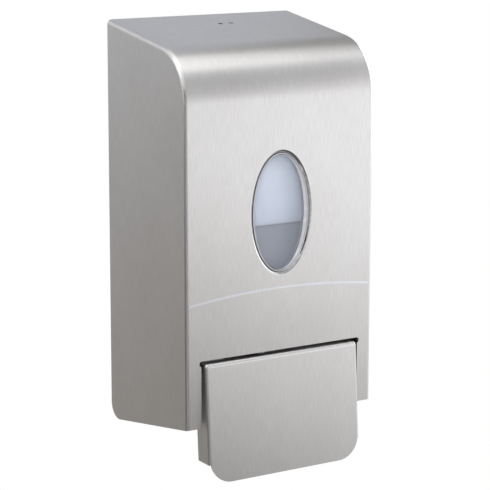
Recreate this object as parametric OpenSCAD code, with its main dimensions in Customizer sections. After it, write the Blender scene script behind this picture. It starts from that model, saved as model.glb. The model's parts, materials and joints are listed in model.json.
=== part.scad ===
// Wall-mounted soap dispenser with a push lever.
// X is to the right, Y goes into the wall, Z is up.
// The origin is on the wall, in the middle of the screw pattern.

/* [Cover] */
// Width of the cover
cover_w = 120; // [116:1:126]
// Distance from the wall to the front face
cover_d = 88; // [87:0.5:90]
// Height of the flat front above its bottom edge
front_h = 176; // [174:1:182]
// Bottom edge of the front, below the screw pattern's middle
front_drop = 100; // [99:0.5:101]
// Radius of the bend between front and top
top_bend_r = 30; // [28:1:32]
// Slope of the top, down towards the front, in degrees
top_slope = 8.5; // [7:0.5:10]
// Slope of the side's bottom edge, down towards the wall, in degrees
bottom_slope = 9.7; // [9:0.1:10.5]
// Radius of the side's lower rear corner, centred on the hinge
rear_corner_r = 10; // [9:0.5:10.5]
// Thickness of the steel sheet
sheet_t = 1; // [0.8:0.1:1.2]
// Gap between the cover's rear edge and the wall
wall_gap = 0.6; // [0.4:0.1:1]

/* [Window] */
// Half width of the oval opening
window_a = 18.2; // [16:0.2:20]
// Half height of the oval opening
window_b = 33.2; // [30:0.2:35]
// Height of the window's middle
window_z = 14; // [10:1:18]
// Depth of the bezel's slope
bezel_depth = 2; // [2:0.1:2.6]
// Width of the bezel's slope at the sides
bezel_w_side = 2.5; // [2:0.25:5]
// Width of the bezel's slope at top and bottom
bezel_w_end = 1.5; // [1:0.25:4]

/* [Lever] */
// Gap between the lever and each side of the notch
lever_side_gap = 1.6; // [1.4:0.1:3]
// Length of the lever from its top fold to its bottom edge
lever_h = 66.8; // [63:0.1:67]
// Tilt of the lever at rest, bottom forward, in degrees
lever_tilt = 3.8; // [3:0.1:5]
// Depth of the lever's side flanges
lever_flange_d = 12; // [11:0.5:14]
// Radius of the lever's bottom corners
lever_corner_r = 13; // [10:1:14]
// Width of the front left standing at each side of the notch
notch_side = 9.25; // [8:0.25:10]
// Height of the notch
notch_h = 37.5; // [37:0.5:39]

/* [Wall plate] */
// Gap between the wall plate and the cover's sides
plate_side_gap = 2.5; // [2.2:0.1:2.8]
// Thickness of the wall plate
plate_t = 1.5; // [1.3:0.1:1.6]
// Horizontal spacing of the wall screws
screw_spacing_x = 70; // [66:1:76]
// Vertical spacing of the wall screws
screw_spacing_z = 140; // [130:2:150]
// Radius of the wall screw holes
screw_hole_r = 2.75; // [2.25:0.05:3]

/* [Tank and pump] */
// Gap between the tank and the cover's sides
tank_side_gap = 6; // [5:0.5:9]
// Gap between the tank and the window's studs
tank_front_gap = 2.7; // [2:0.1:4]
// Gap between the tank and the wall
tank_rear_gap = 8; // [7:0.5:10]
// Wall of the tank
tank_t = 2; // [1.5:0.1:2.5]
// Radius of the pump's bore
pump_bore_r = 9; // [8.6:0.1:9.2]
// Travel of the plunger at the lever's full stroke
plunger_travel = 5.03; // [4:0.01:5.2]
// Wire diameter of the pump spring
spring_wire = 1.2; // [1:0.05:1.3]
// Turns of the pump spring
spring_turns = 4.5; // [3.5:0.25:5]

/* [Hidden] */
$fn = 64;

// Cover outline, in the side view
front_y = -cover_d;
front_z = -front_drop;
rear_y = -wall_gap;
bend_y = front_y + top_bend_r;
bend_z = front_z + front_h;
top_start_y = bend_y - top_bend_r * sin(top_slope);
top_start_z = bend_z + top_bend_r * cos(top_slope);
hinge_y = rear_y - rear_corner_r;
hinge_z = bottom_at(hinge_y) + rear_corner_r / cos(bottom_slope);
side_inner_x = cover_w / 2 - sheet_t;
front_inner_y = front_y + sheet_t;
arc_steps = 24;

// Widths that fit inside the cover
notch_w = cover_w - 2 * notch_side;
lever_w = notch_w - 2 * lever_side_gap;
plate_w = 2 * (side_inner_x - plate_side_gap);
tank_w = 2 * (side_inner_x - tank_side_gap);
notch_relief_r = 1.6;

// Latch
key_spacing = 6.8;
key_r = 1.4;
key_x = 3.2;
key_y = -24;
leaf_w = 16;
leaf_t = 0.8;
leaf_drop = 9.9;
leaf_reach = 9.6;
leaf_rear_y = -4;
leaf_tip_y = key_y - leaf_reach;
leaf_z = top_at(key_y) - leaf_drop;
hook_h = 5;
rivet_r = 1.6;
rivet_y = -11;
rivet_spacing = 8;
rivet_head_r = 2.8;
rivet_head_t = 1;
keeper_w = 18;
keeper_gap = 0.9;
keeper_lip_y = leaf_tip_y + leaf_t + keeper_gap;
keeper_lip_z = leaf_z + leaf_t + keeper_gap;
keeper_foot = 12;

// Wall plate and cover hinge
running_gap = 0.05;
ear_in_x = plate_w / 2 - plate_t;
ear_r = 6;
hinge_pin_r = 2.5;
hinge_pin_tip = 1.5;
plate_top_z = leaf_z;
plate_bottom_z = hinge_z - ear_r;
latch_flange_w = 30;
latch_flange_d = 18;
small_screw_r = 1.6;
small_hole_r = small_screw_r + running_gap;
small_head_r = 3.2;
small_head_t = 2.2;
screw_tip_gap = 0.2;

// Window parts
lens_t = 2;
lens_y = front_y + bezel_depth;
lens_lap = 0.4;
bezel_lap = 3;
retainer_y = lens_y + lens_t;
retainer_t = 1.5;
retainer_rim_x = 9.4;
retainer_rim_z = 5.2;
retainer_r = 8;
retainer_ease = 0.9;
stud_r = 1.5;
stud_out = 4.9;
stud_down = 3.8;
stud_tip = 0.7;
nut_y = retainer_y + retainer_t;
nut_r = 3;
nut_t = 2.2;
stud_end_y = nut_y + nut_t + stud_tip;
oval_points = 72;

// Lever, in its own frame at the pivot
pivot_inset = 8;
pivot_drop = 5.5;
pivot_y = front_y + pivot_inset;
pivot_z = front_z + notch_h - pivot_drop;
lever_stand = 2.2;
lever_rise = 3.3;
lever_face = -pivot_inset - lever_stand;
lever_bottom = lever_rise - lever_h;
lever_fold_r = 3;
lever_overlap = 5;
lever_flange_short = 2.2;
lever_slit = 0.8;
lever_corner_z = lever_bottom + lever_corner_r;
lever_channel_end = lever_corner_z - lever_overlap;
lever_flange_end = lever_corner_z - lever_flange_short;
lever_skirt_start = lever_flange_end - lever_slit;
lever_plate_x = lever_w / 2 - sheet_t;
lever_fold_x = lever_w / 2 - lever_fold_r;
lever_ear_r = 5;
heel = 5;
bush_r = 3;
bush_rim_r = 4.4;
bush_rim_t = 1;
pin_r = 2;
pin_head_r = 3.2;
pin_head_t = 1;
clip_r = 3.6;
clip_t = 0.8;
clip_gap = 0.8;
clip_x = lever_plate_x - bush_rim_t - clip_gap - clip_t;
lever_return_gap = 0.4;
lever_return = pivot_inset + lever_stand - clip_r - lever_return_gap;
bracket_t = 1.2;
bracket_gap = 1;
bracket_ear_x = notch_w / 2 + bracket_gap;
bracket_foot_x = side_inner_x - bracket_gap;
bracket_ear_w = 10;
stop_gap = 0.3;
stop_t = 1.8;
stop_z = 2;
carrier_t = 2.5;
carrier_side_gap = 0.2;
carrier_top_gap = 1.8;
carrier_end_gap = 9;
carrier_y = lever_face + sheet_t;
carrier_back = carrier_y + carrier_t;
carrier_w = 2 * (lever_fold_x - carrier_side_gap);
carrier_top = lever_rise - sheet_t - carrier_top_gap;
carrier_bottom = lever_channel_end + carrier_end_gap;
carrier_rib_h = 3;
carrier_rib_t = 2;
carrier_rib_end = 4;
carrier_rib_edge = 3.9;
carrier_rib_spacing = 13.7;
carrier_stud_r = 1.5;
carrier_stud_head_r = 3;
carrier_stud_head_t = 1.2;
carrier_stud_in = 10;
carrier_stud_down = 8.5;
carrier_stud_up = 7;
carrier_stud_x = carrier_w / 2 - carrier_stud_in;
carrier_stud_zs = [carrier_top - carrier_stud_down, carrier_bottom + carrier_stud_up];
nose_r = 4;
nose_w = 16;
push_gap = 0.3;

// Tank
tank_rear_y = -tank_rear_gap;
tank_front_y = stud_end_y + tank_front_gap;
tank_d = tank_rear_y - tank_front_y;
tank_rise = 50;
tank_over_bend = 6;
tank_bottom_z = front_z + tank_rise;
tank_top_z = bend_z + tank_over_bend;
tank_bend_gap = 4;
tank_bend_r = top_bend_r - tank_bend_gap;
tank_corner_r = 4;
tank_edge_r = 6;
neck_y = -44;
neck_r = 20;
neck_bore_r = 17;
neck_h = 8;
neck_top_z = tank_top_z + neck_h;
neck_foot_z = tank_top_z - tank_bend_r / 4;
lug_t = 1.6;
lug_out = 1.6;
lug_drop = 3;
lug_z = neck_top_z - lug_drop;
lug_out_r = neck_r + lug_out;
lug_angle = 50;
gasket_t = 1;
cap_gap = 0.4;
cap_floor_gap = 1.2;
cap_ceiling_gap = 0.3;
cap_wall = 1.5;
cap_roof = 1.7;
cap_inner_r = lug_out_r + cap_gap;
cap_r = cap_inner_r + cap_wall;
cap_bottom_z = tank_top_z + cap_floor_gap;
cap_ceiling_z = neck_top_z + gasket_t + cap_ceiling_gap;
cap_top_z = cap_ceiling_z + cap_roof;
cap_tab_r = neck_r + cap_gap;
cap_tab_t = 1.6;
cap_tab_z = lug_z - cap_tab_t - cap_gap;
cap_flutes = 20;
cap_flute_r = 1.3;
cap_flute_out = 0.4;

// Pump, its axis along Y at the height where the lever's nose pushes
pump_rise = 8;
pump_z = front_z + pump_rise;
pump_wall = 2.5;
tower_r = 10;
rod_r = 4.5;
head_r = 9.5;
head_t = 2.5;
head_inset = 4.5;
head_front_y = front_y + head_inset;
head_rear_y = head_front_y + head_t;
spring_l = 12;
gland_front_y = head_rear_y + spring_l;
gland_t = 2;
gland_wall = 2;
gland_skirt = 7;
pump_mouth_y = gland_front_y + gland_t;
pump_outer_r = pump_bore_r + pump_wall;
gland_r = pump_outer_r + gland_wall;
piston_gap = 0.1;
piston_start_gap = 0.4;
piston_l = 6;
piston_r = pump_bore_r - piston_gap;
piston_front_y = pump_mouth_y + piston_start_gap;
piston_rear_y = piston_front_y + piston_l;
port_y = piston_rear_y + plunger_travel + tower_r;
pump_end_y = port_y + tower_r;
pump_end_t = 2;
seal_r = 0.95;
seal_stand = 0.05;
spring_gap = 1.9;
spring_r = rod_r + spring_wire / 2 + spring_gap;
spring_sides = 8;
spring_rings_per_turn = 16;
spring_end_gap = 0.05;
spring_pitch = (spring_l - spring_wire - 2 * spring_end_gap) / spring_turns;
shelf_t = 3;
shelf_top_z = tank_bottom_z;
shelf_bottom_z = shelf_top_z - shelf_t;
spigot_r = 7;
spigot_bore_r = 5;
spigot_reach = 11;
spigot_gap = 0.1;
spigot_end_z = shelf_bottom_z - spigot_reach;
pump_flange_t = 3;
pump_flange_w = 44;
pump_flange_d = 34;
pump_screw_x = 17;
pump_screw_dy = 12;
outlet_seal_t = 2;
socket_r = spigot_r + spigot_gap;
socket_floor_z = spigot_end_z - outlet_seal_t;
inlet_pocket_r = 6.2;
inlet_pocket_h = 5;
inlet_pocket_z = socket_floor_z - inlet_pocket_h;
inlet_port_r = 3;
outlet_port_r = 3;
outlet_floor_t = 3;
outlet_pocket_r = 5;
outlet_pocket_h = 6;
outlet_boss_r = 7.5;
outlet_pocket_z = pump_z - pump_bore_r - outlet_floor_t;
outlet_boss_z = outlet_pocket_z - outlet_pocket_h;
valve_gap = 0.1;
valve_disc_t = 1.2;
valve_lip_in = 0.5;
nozzle_wall = 2;
nozzle_grip = 5;
nozzle_tip_l = 5;
nozzle_skirt_r = outlet_boss_r + nozzle_wall;
nozzle_skirt_z = outlet_boss_z + nozzle_grip;
nozzle_floor_z = outlet_boss_z - nozzle_wall;
nozzle_tip_z = nozzle_floor_z - nozzle_tip_l;
nozzle_tip_r = 4;
nozzle_bore_r = 2.5;

// Chassis
lip_t = 2;
lip_h = 9;
lip_gap = 0.3;
shelf_w = tank_w + 2 * (lip_gap + lip_t);
shelf_front_y = tank_front_y - lip_gap - lip_t;
shelf_hole_gap = 0.4;
chassis_wall_w = 55;
chassis_wall_t = 3;
chassis_wall_rise = 2;
chassis_wall_y = -plate_t - chassis_wall_t;
chassis_wall_bottom_z = hinge_z + chassis_wall_rise;
chassis_rib_t = 2.5;
chassis_rib_reach = 12;
chassis_rib_front_y = port_y - chassis_rib_reach;
chassis_rib_drop = 2;
chassis_screw_x = 19;
chassis_screw_down = 9;
chassis_screw_up = 6;
chassis_screw_zs = [shelf_bottom_z - chassis_screw_down, chassis_wall_bottom_z + chassis_screw_up];

echo(least_gap_between_spring_turns = spring_pitch - spring_wire);

// Height of the side's bottom edge and of the top's outer face at a distance from the wall
function bottom_at(y) = front_z - (y - front_y) * tan(bottom_slope);
function top_at(y) = top_start_z + (y - top_start_y) * tan(top_slope);

// Points of an arc about a centre, between two angles
function arc(y, z, r, from, to) =
    [for (i = [0 : arc_steps]) let (a = from + (to - from) * i / arc_steps) [y + r * cos(a), z + r * sin(a)]];

// Shapes drawn in the side view, Y and Z, and pushed out across X
module along_x(width) {
    rotate([90, 0, 90]) linear_extrude(width, center = true) children();
}

// Cylinders along X and Y that start at a point
module rod_x(r, x0, x1) {
    translate([x0, 0, 0]) rotate([0, 90, 0]) cylinder(r = r, h = x1 - x0);
}

module rod_y(r, y0, y1) {
    translate([0, y0, 0]) rotate([-90, 0, 0]) cylinder(r = r, h = y1 - y0);
}

module ring_z(outer_r, inner_r, z0, z1) {
    translate([0, 0, z0]) difference() {
        cylinder(r = outer_r, h = z1 - z0);
        translate([0, 0, -1]) cylinder(r = inner_r, h = z1 - z0 + 2);
    }
}

module on_both_sides() {
    children();
    mirror([1, 0, 0]) children();
}

module rounded_rect(w, h, r) {
    square([w - 2 * r, h], center = true);
    square([w, h - 2 * r], center = true);
    for (sx = [-1, 1], sy = [-1, 1])
        translate([sx * (w / 2 - r), sy * (h / 2 - r)]) circle(r);
}

module oval(a, b) {
    step = 360 / oval_points;
    polygon([for (i = [0 : oval_points - 1]) [a * cos(i * step), b * sin(i * step)]]);
}

// An oval plate in the front's plane, from y0 back to y1
module oval_plate(a, b, y0, y1) {
    translate([0, y1, window_z]) rotate([90, 0, 0]) linear_extrude(y1 - y0) oval(a, b);
}

// A folded sheet seen along its folds: a web of the given width and two legs towards +Y
module folded_outline(w, d, r) {
    translate([-w / 2, r]) square([w, d - r]);
    translate([-w / 2 + r, 0]) square([w - 2 * r, d]);
    for (s = [-1, 1]) translate([s * (w / 2 - r), r]) circle(r);
}

// The cover's outer face and its hollow in the side view
module cover_outline() {
    polygon(concat(
        [[front_y, front_z]],
        arc(bend_y, bend_z, top_bend_r, 180, 90 + top_slope),
        [[rear_y, top_at(rear_y)]],
        arc(hinge_y, hinge_z, rear_corner_r, 0, -90 - bottom_slope)
    ));
}

module cover_hollow() {
    polygon(concat(
        [[front_inner_y, 2 * front_z]],
        arc(bend_y, bend_z, top_bend_r - sheet_t, 180, 90 + top_slope),
        [[cover_d, top_at(cover_d) - sheet_t / cos(top_slope)], [cover_d, 2 * front_z]]
    ));
}

// Places its children on the top's outer face, Z square to it, at a distance from the wall
module on_top(y) {
    translate([0, y, top_at(y)]) rotate([top_slope, 0, 0]) children();
}

module cover() {
    color("silver") difference() {
        along_x(cover_w) cover_outline();
        along_x(2 * side_inner_x) cover_hollow();
        notch_cut();
        oval_plate(window_a, window_b, front_y - 1, front_inner_y + 1);
        for (s = [-1, 1]) on_top(key_y) translate([key_x + s * key_spacing / 2, 0, 0])
            cylinder(r = key_r, h = 6 * sheet_t, center = true);
    }
}

// The notch, with round reliefs in its upper corners
module notch_cut() {
    relief_z = front_z + notch_h - notch_relief_r;
    translate([-notch_w / 2, front_y - sheet_t, front_z - sheet_t])
        cube([notch_w, 4 * sheet_t, notch_h + sheet_t]);
    on_both_sides() translate([notch_w / 2 - notch_relief_r / 4, 0, relief_z])
        rod_y(notch_relief_r, front_y - sheet_t, front_y + 3 * sheet_t);
}

module cover_hinge_pins() {
    color("lightgray") on_both_sides() translate([0, hinge_y, hinge_z])
        rod_x(hinge_pin_r, ear_in_x - hinge_pin_tip, side_inner_x);
}

module keeper() {
    color("lightgray") intersection() {
        union() {
            translate([-keeper_w / 2, keeper_lip_y, keeper_lip_z]) cube([keeper_w, sheet_t, keeper_foot]);
            on_top(keeper_lip_y) translate([-keeper_w / 2, -keeper_foot, -2 * sheet_t])
                cube([keeper_w, keeper_foot + sheet_t, sheet_t]);
        }
        on_top(keeper_lip_y) translate([-keeper_w, -2 * keeper_foot, -sheet_t - 2 * keeper_foot])
            cube([2 * keeper_w, 4 * keeper_foot, 2 * keeper_foot]);
    }
}

module window_bezel() {
    lens_a = window_a - bezel_w_side;
    lens_b = window_b - bezel_w_end;
    color("lightgray") difference() {
        union() {
            oval_plate(window_a, window_b, front_y, front_inner_y);
            oval_plate(window_a + bezel_lap, window_b + bezel_lap, front_inner_y, lens_y);
        }
        translate([0, lens_y, window_z]) rotate([90, 0, 0])
            linear_extrude(bezel_depth, scale = [window_a / lens_a, window_b / lens_b], slices = 1)
                oval(lens_a, lens_b);
    }
}

module window_lens() {
    color("lightblue") oval_plate(window_a + lens_lap, window_b + lens_lap, lens_y, lens_y + lens_t);
}

module window_retainer() {
    color("dimgray") difference() {
        translate([0, retainer_y + retainer_t, window_z]) rotate([90, 0, 0])
            linear_extrude(retainer_t)
                rounded_rect(2 * (window_a + retainer_rim_x), 2 * (window_b + retainer_rim_z), retainer_r);
        oval_plate(window_a - bezel_w_side + retainer_ease, window_b - bezel_w_end + retainer_ease,
            retainer_y - 1, retainer_y + retainer_t + 1);
        at_window_studs() rod_y(stud_r + running_gap, front_y, 0);
    }
}

module at_window_studs() {
    for (sx = [-1, 1], sz = [-1, 1])
        translate([sx * (window_a + stud_out), 0, window_z + sz * (window_b - stud_down)])
            children();
}

module window_studs() {
    color("silver") at_window_studs() rod_y(stud_r, front_inner_y, stud_end_y);
}

module window_nuts() {
    color("gray") at_window_studs() difference() {
        translate([0, nut_y, 0]) rotate([-90, 0, 0]) cylinder(r = nut_r, h = nut_t, $fn = 6);
        rod_y(stud_r + running_gap, nut_y - 1, nut_y + nut_t + 1);
    }
}

// Places its children in the lever's frame: origin on the pivot, Z up the plate
module at_lever() {
    translate([0, pivot_y, pivot_z]) rotate([-lever_tilt, 0, 0]) children();
}

module lever_plate() {
    color("silver") at_lever() difference() {
        union() {
            lever_channel();
            lever_skirt();
            on_both_sides() translate([lever_plate_x + sheet_t / 2, 0, 0]) along_x(sheet_t) lever_ear();
        }
        on_both_sides() rod_x(bush_r, lever_plate_x - 1, lever_w / 2 + 1);
    }
}

// A web with two side flanges and a short return at the top
module lever_channel() {
    length = lever_rise - lever_channel_end;
    cut = 2 * lever_w;
    difference() {
        translate([0, lever_face, lever_channel_end]) linear_extrude(length)
            folded_outline(lever_w, lever_flange_d, lever_fold_r);
        translate([0, carrier_y, lever_channel_end - sheet_t]) linear_extrude(length)
            folded_outline(2 * lever_plate_x, lever_flange_d, lever_fold_r - sheet_t);
        translate([-lever_plate_x, lever_face + lever_return, lever_rise - 2 * sheet_t])
            cube([2 * lever_plate_x, lever_flange_d, 3 * sheet_t]);
        // The flanges end at a level edge
        on_both_sides() translate([lever_fold_x, lever_face, lever_flange_end]) rotate([lever_tilt, 0, 0])
            translate([0, -cut / 2, -cut]) cube(cut);
    }
}

module lever_ear() {
    circle(lever_ear_r);
    square(heel);
    translate([-lever_ear_r, -heel]) square([lever_ear_r, heel]);
}

// The flat lower end with its two round corners
module lever_skirt() {
    corner_x = lever_plate_x - lever_corner_r;
    inner_x = lever_fold_x - 1;
    translate([0, carrier_y, 0]) rotate([90, 0, 0]) linear_extrude(sheet_t) {
        translate([-inner_x, lever_channel_end - 1]) square([2 * inner_x, lever_corner_r]);
        translate([-corner_x, lever_bottom]) square([2 * corner_x, lever_corner_r]);
        intersection() {
            for (s = [-1, 1]) translate([s * corner_x, lever_corner_z]) circle(lever_corner_r);
            translate([-lever_w / 2, lever_bottom - 1])
                square([lever_w, lever_skirt_start - lever_bottom + 1]);
        }
    }
}

module lever_bushes() {
    color("white") at_lever() on_both_sides() difference() {
        union() {
            rod_x(bush_r, lever_plate_x - 1, lever_w / 2);
            rod_x(bush_rim_r, lever_w / 2, lever_w / 2 + bush_rim_t);
        }
        rod_x(pin_r + running_gap, lever_plate_x - 2, lever_w / 2 + 2 * bush_rim_t);
    }
}

module lever_pins() {
    head_x = bracket_ear_x + bracket_t;
    color("lightgray") at_lever() on_both_sides() {
        rod_x(pin_r, clip_x - clip_t, head_x);
        rod_x(pin_head_r, head_x, head_x + pin_head_t);
    }
}

module pin_clips() {
    color("gray") at_lever() on_both_sides() difference() {
        rod_x(clip_r, clip_x, clip_x + clip_t);
        rod_x(pin_r, clip_x - 1, clip_x + clip_t + 1);
    }
}

// A foot welded to the inside of the front, an ear that holds the pin and a tab that stops the lever
module lever_brackets() {
    ear_bottom_z = pivot_z - bracket_ear_w / 2;
    tab_x = lever_plate_x - 1;
    color("lightgray") on_both_sides() difference() {
        union() {
            translate([bracket_ear_x, front_inner_y, ear_bottom_z])
                cube([bracket_foot_x - bracket_ear_x, bracket_t, 2 * bracket_ear_w]);
            translate([bracket_ear_x, front_inner_y, ear_bottom_z])
                cube([bracket_t, pivot_y - front_inner_y, bracket_ear_w]);
            translate([0, pivot_y, pivot_z])
                rod_x(bracket_ear_w / 2, bracket_ear_x, bracket_ear_x + bracket_t);
            at_lever() translate([bracket_ear_x, 0, stop_z])
                cube([bracket_t, heel + stop_gap + stop_t, heel - 1]);
            at_lever() translate([tab_x, heel + stop_gap, stop_z])
                cube([bracket_ear_x + bracket_t - tab_x, stop_t, heel - 1]);
        }
        at_lever() rod_x(pin_r, bracket_ear_x - 1, bracket_ear_x + bracket_t + 1);
    }
}

module lever_carrier() {
    rib_l = carrier_top - carrier_bottom - carrier_rib_end;
    outer_rib_x = carrier_w / 2 - carrier_rib_edge - carrier_rib_t / 2;
    color("dimgray") at_lever() difference() {
        union() {
            translate([-carrier_w / 2, carrier_y, carrier_bottom])
                cube([carrier_w, carrier_t, carrier_top - carrier_bottom]);
            on_both_sides() for (i = [0 : 2])
                translate([outer_rib_x - i * carrier_rib_spacing, carrier_y, carrier_bottom])
                    cube([carrier_rib_t, carrier_t + carrier_rib_h, rib_l]);
            rotate([lever_tilt, 0, 0])
                translate([0, head_front_y - push_gap - nose_r - pivot_y, pump_z - pivot_z])
                    rod_x(nose_r, -nose_w / 2, nose_w / 2);
        }
        at_carrier_studs() rod_y(carrier_stud_r + running_gap, carrier_y - 1, carrier_back + 1);
        translate([-carrier_w, carrier_y - 2 * nose_r, carrier_bottom])
            cube([2 * carrier_w, 2 * nose_r, -carrier_bottom]);
    }
}

module at_carrier_studs() {
    for (sx = [-1, 1], z = carrier_stud_zs) translate([sx * carrier_stud_x, 0, z]) children();
}

module carrier_studs() {
    color("lightgray") at_lever() at_carrier_studs() {
        rod_y(carrier_stud_r, carrier_y, carrier_back);
        rod_y(carrier_stud_head_r, carrier_back, carrier_back + carrier_stud_head_t);
    }
}

module back_plate() {
    plate_h = plate_top_z - plate_bottom_z;
    color("gainsboro") difference() {
        union() {
            translate([-plate_w / 2, -plate_t, plate_bottom_z]) cube([plate_w, plate_t, plate_h]);
            translate([-latch_flange_w / 2, -latch_flange_d, plate_top_z - plate_t])
                cube([latch_flange_w, latch_flange_d, plate_t]);
            on_both_sides() translate([ear_in_x + plate_t / 2, 0, 0]) along_x(plate_t) {
                translate([hinge_y, hinge_z]) circle(ear_r);
                translate([hinge_y, plate_bottom_z]) square([-hinge_y, 3 * ear_r]);
            }
        }
        on_both_sides() translate([0, hinge_y, hinge_z])
            rod_x(hinge_pin_r + running_gap, ear_in_x - 1, plate_w);
        for (sx = [-1, 1], sz = [-1, 1]) translate([sx * screw_spacing_x / 2, 0, sz * screw_spacing_z / 2])
            rod_y(screw_hole_r, -plate_t - 1, 1);
        at_chassis_screws() rod_y(small_screw_r, -plate_t - 1, 1);
        at_rivets() cylinder(r = rivet_r, h = plate_t + 2, center = true);
    }
}

module at_rivets() {
    for (sx = [-1, 1]) translate([sx * rivet_spacing / 2, rivet_y, plate_top_z]) children();
}

module latch_leaf() {
    color("lightgray") difference() {
        translate([-leaf_w / 2, leaf_tip_y, leaf_z]) {
            cube([leaf_w, leaf_rear_y - leaf_tip_y, leaf_t]);
            cube([leaf_w, leaf_t, hook_h]);
        }
        at_rivets() cylinder(r = rivet_r, h = 4, center = true);
    }
}

module latch_rivets() {
    color("gray") at_rivets() {
        translate([0, 0, -plate_t]) cylinder(r = rivet_r, h = plate_t + leaf_t);
        translate([0, 0, leaf_t]) cylinder(r = rivet_head_r, h = rivet_head_t);
        translate([0, 0, -plate_t - rivet_head_t]) cylinder(r = rivet_head_r, h = rivet_head_t);
    }
}

module chassis() {
    rib_x = (chassis_wall_w - chassis_rib_t) / 2;
    color("slategray") difference() {
        union() {
            translate([-shelf_w / 2, shelf_front_y, shelf_bottom_z])
                cube([shelf_w, -plate_t - shelf_front_y, shelf_t]);
            on_both_sides() translate([shelf_w / 2 - lip_t, tank_front_y + tank_edge_r, shelf_bottom_z])
                cube([lip_t, tank_d - 2 * tank_edge_r, lip_h + shelf_t]);
            translate([-tank_w / 4, shelf_front_y, shelf_bottom_z])
                cube([tank_w / 2, lip_t, lip_h + shelf_t]);
            translate([-chassis_wall_w / 2, chassis_wall_y, chassis_wall_bottom_z])
                cube([chassis_wall_w, chassis_wall_t, shelf_top_z - chassis_wall_bottom_z]);
            on_both_sides() translate([rib_x, 0, 0]) along_x(chassis_rib_t) polygon([
                [-plate_t, shelf_top_z],
                [chassis_rib_front_y, shelf_top_z],
                [chassis_rib_front_y, shelf_bottom_z - chassis_rib_drop],
                [chassis_wall_y, chassis_wall_bottom_z],
                [-plate_t, chassis_wall_bottom_z]
            ]);
        }
        translate([0, port_y, shelf_bottom_z - 1]) cylinder(r = spigot_r + shelf_hole_gap, h = shelf_t + 2);
        at_chassis_screws() rod_y(small_hole_r, chassis_wall_y - 1, 0);
        at_pump_screws() translate([0, 0, shelf_bottom_z - 1])
            cylinder(r = small_screw_r, h = shelf_t + 2);
    }
}

module at_chassis_screws() {
    for (sx = [-1, 1], z = chassis_screw_zs) translate([sx * chassis_screw_x, 0, z]) children();
}

module chassis_screws() {
    color("silver") at_chassis_screws() {
        rod_y(small_screw_r, chassis_wall_y, -screw_tip_gap);
        rod_y(small_head_r, chassis_wall_y - small_head_t, chassis_wall_y);
    }
}

// The tank's outline in the side view and seen from above, both set in from the outer face
module tank_profile(inset) {
    y0 = tank_front_y + inset;
    y1 = tank_rear_y - inset;
    z0 = tank_bottom_z + inset;
    z1 = tank_top_z - inset;
    r = tank_corner_r - inset;
    bend = tank_bend_r - inset;
    polygon([
        [y0, z0 + r], [y0, z1 - bend], [y0 + bend, z1], [y1 - r, z1],
        [y1, z1 - r], [y1, z0 + r], [y1 - r, z0], [y0 + r, z0]
    ]);
    translate([y0 + bend, z1 - bend]) circle(bend);
    translate([y1 - r, z1 - r]) circle(r);
    for (y = [y0 + r, y1 - r]) translate([y, z0 + r]) circle(r);
}

module tank_body(inset) {
    intersection() {
        along_x(tank_w) tank_profile(inset);
        translate([0, (tank_front_y + tank_rear_y) / 2, tank_bottom_z])
            linear_extrude(tank_top_z - tank_bottom_z)
                rounded_rect(tank_w - 2 * inset, tank_d - 2 * inset, tank_edge_r - inset);
    }
}

module tank() {
    color("whitesmoke") difference() {
        union() {
            tank_body(0);
            translate([0, port_y, spigot_end_z])
                cylinder(r = spigot_r, h = tank_bottom_z - spigot_end_z + tank_t);
        }
        tank_body(tank_t);
        translate([0, neck_y, neck_foot_z - tank_t]) cylinder(r = neck_bore_r, h = neck_top_z);
        translate([0, port_y, spigot_end_z - 1])
            cylinder(r = spigot_bore_r, h = tank_bottom_z - spigot_end_z + 2 * tank_t);
    }
}

// The filler neck stands on the tank's top and on its bend
module tank_neck() {
    color("whitesmoke") difference() {
        translate([0, neck_y, 0]) {
            translate([0, 0, neck_foot_z]) cylinder(r = neck_r, h = neck_top_z - neck_foot_z);
            translate([0, 0, lug_z])
                for (turn = [0, 180]) rotate(turn - lug_angle / 2) rotate_extrude(angle = lug_angle)
                    translate([neck_bore_r, 0]) square([lug_out_r - neck_bore_r, lug_t]);
        }
        translate([0, neck_y, neck_foot_z - tank_t]) cylinder(r = neck_bore_r, h = neck_top_z);
        tank_body(0);
    }
}

module neck_gasket() {
    color("dimgray") translate([0, neck_y, 0])
        ring_z(neck_r, neck_bore_r, neck_top_z, neck_top_z + gasket_t);
}

module filler_cap() {
    color("lightslategray") translate([0, neck_y, 0]) difference() {
        union() {
            ring_z(cap_r, cap_inner_r, cap_bottom_z, cap_top_z);
            translate([0, 0, cap_ceiling_z]) cylinder(r = cap_r, h = cap_top_z - cap_ceiling_z);
            for (turn = [0, 180]) rotate(turn - lug_angle / 2) rotate_extrude(angle = lug_angle)
                translate([cap_tab_r, cap_tab_z]) square([cap_inner_r - cap_tab_r + cap_gap, cap_tab_t]);
        }
        for (i = [0 : cap_flutes - 1]) rotate(360 * i / cap_flutes)
            translate([cap_r + cap_flute_out, 0, cap_bottom_z - 1])
                cylinder(r = cap_flute_r, h = cap_top_z - cap_bottom_z + 2);
    }
}

module outlet_seal() {
    color("dimgray") translate([0, port_y, 0])
        ring_z(spigot_r, spigot_bore_r, socket_floor_z, spigot_end_z);
}

module at_pump_screws() {
    for (sx = [-1, 1], sy = [-1, 1])
        translate([sx * pump_screw_x, port_y + sy * pump_screw_dy, 0]) children();
}

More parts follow.
